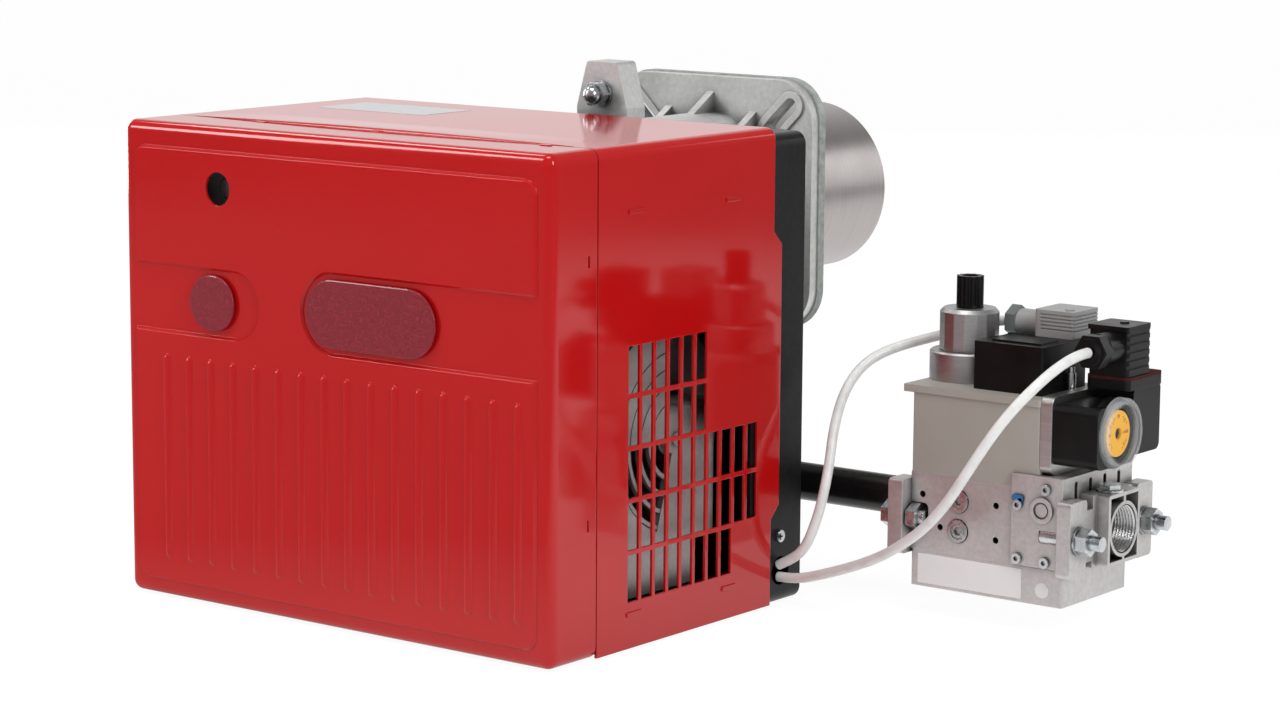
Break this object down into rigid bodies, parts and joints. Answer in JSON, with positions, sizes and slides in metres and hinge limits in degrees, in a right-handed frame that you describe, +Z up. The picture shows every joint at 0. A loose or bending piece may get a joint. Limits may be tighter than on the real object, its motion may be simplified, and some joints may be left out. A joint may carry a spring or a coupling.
{
  "type": "gas burner",
  "caption": "Monobloc gas burner for a heating boiler: red ribbed hood over a fan, neck with flange and blast tube, and a gas valve on a side pipe with two cables.",
  "frame": {"origin": "on the axis of the blast tube, in the gasket face that meets the boiler", "axes": "+Y along the blast tube into the boiler, +X towards the gas valve, +Z up"},
  "size_m": [0.4863, 0.4521, 0.2894],
  "materials": {
    "red_paint": "gloss",
    "black_paint": "satin",
    "cast_aluminium": "cast, satin",
    "machined_aluminium": "brushed",
    "zinc_steel": "zinc plated",
    "stainless_sheet": "brushed",
    "dark_pipe": "matt, blackened",
    "coil_paint": "satin",
    "black_plastic": "satin",
    "gloss_black": "gloss",
    "grey_plastic": "satin",
    "clear_plastic": "clear",
    "orange_plastic": "satin",
    "grey_gasket": "matt fibre",
    "red_gasket": "matt",
    "white_cable": "gloss",
    "ceramic": "glazed",
    "motor_paint": "satin",
    "galvanised": "galvanised"
  },
  "bodies": {
    "burner": {"air_pressure_switch": "grey_plastic", "black_gland_nut": "black_plastic", "black_plug": "black_plastic", "blast_tube": "stainless_sheet", "boiler_flange": "cast_aluminium", "brake_ring": "machined_aluminium", "button_spring": "zinc_steel", "cable_a": "white_cable", "cable_b": "white_cable", "capacitor": "grey_plastic", "coil_housing": "coil_paint", "coil_lid": "coil_paint", "control_base": "black_plastic", "control_box": "grey_plastic", "fan_housing": "cast_aluminium", "flange_gasket": "grey_gasket", "flange_studs": "zinc_steel", "gas_elbow": "dark_pipe", "gas_pipe": "dark_pipe", "gas_switch": "black_plastic", "grey_gland_nut": "grey_plastic", "grey_plug": "grey_plastic", "head_elbow": "dark_pipe", "housing_screws": "zinc_steel", "ignition_transformer": "black_plastic", "inlet_flange": "cast_aluminium", "intake_drum": "cast_aluminium", "intake_guard": "cast_aluminium", "leak_switch": "black_plastic", "lug_fastening": "zinc_steel", "motor_bearings": "zinc_steel", "motor_end_caps": "cast_aluminium", "motor_stator": "motor_paint", "neck_casting": "cast_aluminium", "outlet_flange": "cast_aluminium", "rear_shield": "black_paint", "switch_gasket": "red_gasket", "switch_plate": "machined_aluminium", "switch_window": "clear_plastic", "terminal_block": "black_plastic", "terminal_box": "black_plastic", "test_fittings": "zinc_steel", "valve_base": "machined_aluminium", "valve_body": "machined_aluminium", "valve_screws": "zinc_steel", "valve_side_block": "machined_aluminium"},
    "hood": {"front_panel": "red_paint", "hood_wrap": "red_paint"},
    "fan": {"motor_shaft": "zinc_steel", "impeller": "galvanised"},
    "shutter": {"air_shutter": "galvanised"},
    "button": {"reset_button": "gloss_black"},
    "flow_knob": {"brake_cylinder": "machined_aluminium"},
    "start_cap": {"brake_cap": "black_plastic"},
    "pressure_dial": {"switch_dial": "orange_plastic"},
    "air_dial": {"air_switch_dial": "black_plastic"},
    "head": {"gas_head": "stainless_sheet", "swirl_disc": "stainless_sheet", "electrodes": "ceramic", "electrode_clamp": "zinc_steel"}
  },
  "joints": [
    {"name": "hood_pull", "type": "slide", "parent": "burner", "child": "hood", "axis": [0, -1, 0], "range_m": [0, 0.25]},
    {"name": "fan_spin", "type": "hinge", "parent": "burner", "child": "fan", "pos_m": [0, -0.23, -0.0991], "axis": [1, 0, 0], "continuous": true},
    {"name": "shutter_turn", "type": "hinge", "parent": "burner", "child": "shutter", "pos_m": [0.1327, -0.23, -0.0991], "axis": [1, 0, 0], "range_deg": [0, 71.5]},
    {"name": "button_press", "type": "slide", "parent": "burner", "child": "button", "axis": [0, 1, 0], "range_m": [0, 0.003], "stiffness_N_per_m": 900, "springref_m": -0.0015, "deforming": ["button_spring"]},
    {"name": "flow_turn", "type": "hinge", "parent": "burner", "child": "flow_knob", "pos_m": [0.2278, -0.0835, -0.0596], "axis": [0, 0, 1], "range_deg": [0, 300]},
    {"name": "cap_turn", "type": "hinge", "parent": "flow_knob", "child": "start_cap", "pos_m": [0.2278, -0.0835, -0.0366], "axis": [0, 0, 1], "continuous": true},
    {"name": "pressure_set", "type": "hinge", "parent": "burner", "child": "pressure_dial", "pos_m": [0.33, -0.0998, -0.0923], "axis": [1, 0, 0], "range_deg": [0, 270]},
    {"name": "air_set", "type": "hinge", "parent": "burner", "child": "air_dial", "pos_m": [0.07, -0.179, 0.0164], "axis": [1, 0, 0], "range_deg": [0, 270]},
    {"name": "head_adjust", "type": "slide", "parent": "burner", "child": "head", "axis": [0, 1, 0], "range_m": [0, 0.015]}
  ]
}
